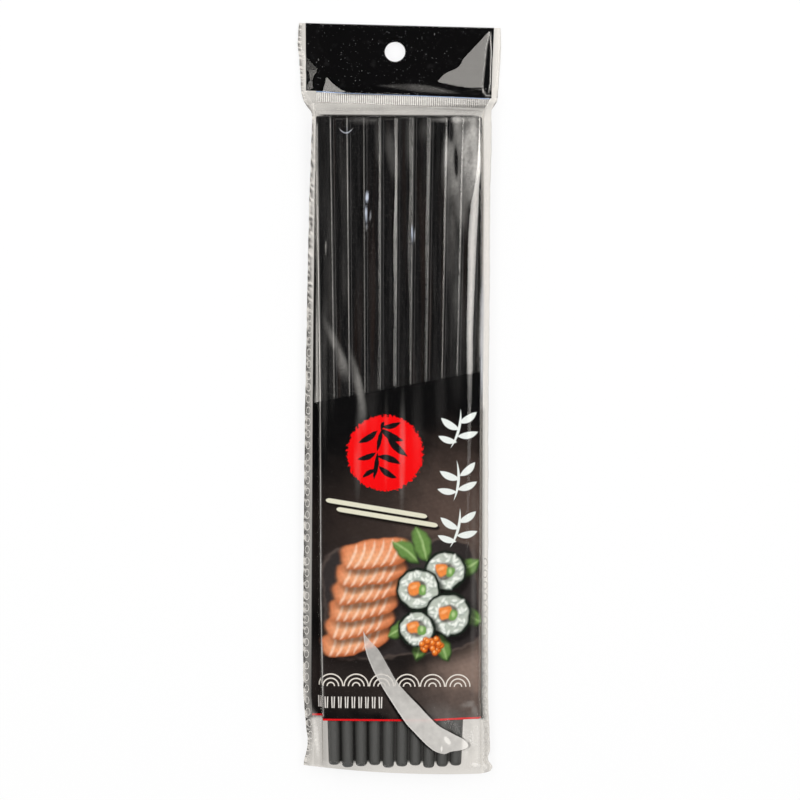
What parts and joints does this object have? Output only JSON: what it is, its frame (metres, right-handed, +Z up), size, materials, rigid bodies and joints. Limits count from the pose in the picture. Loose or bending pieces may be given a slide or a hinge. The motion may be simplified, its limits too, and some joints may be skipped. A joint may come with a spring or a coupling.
{
  "type": "pack of plastic chopsticks",
  "caption": "Hanging retail pack: rows of tapered plastic chopsticks sealed in a clear film bag with an opaque header strip and a round hang hole.",
  "frame": {"origin": "middle of the pack's footprint, on the surface that it lies on", "axes": "+X to the right, +Y from the tips towards the header, +Z up out of the front film"},
  "size_m": [0.0752, 0.2786, 0.0126],
  "materials": {
    "clear_film": "clear glossy film, printed in part",
    "black_film": "opaque black film under clear film",
    "stick_plastic": "satin black, greyer and duller towards the tip"
  },
  "bodies": {
    "root": {"chopstick_01": "stick_plastic", "chopstick_02": "stick_plastic", "chopstick_03": "stick_plastic", "chopstick_04": "stick_plastic", "chopstick_05": "stick_plastic", "chopstick_06": "stick_plastic", "chopstick_07": "stick_plastic", "chopstick_08": "stick_plastic", "chopstick_09": "stick_plastic", "chopstick_10": "stick_plastic", "chopstick_11": "stick_plastic", "chopstick_12": "stick_plastic", "chopstick_13": "stick_plastic", "chopstick_14": "stick_plastic", "chopstick_15": "stick_plastic", "chopstick_16": "stick_plastic", "chopstick_17": "stick_plastic", "chopstick_18": "stick_plastic", "chopstick_19": "stick_plastic", "chopstick_20": "stick_plastic", "film_bag": "clear_film", "header_strip": "black_film"}
  },
  "joints": []
}
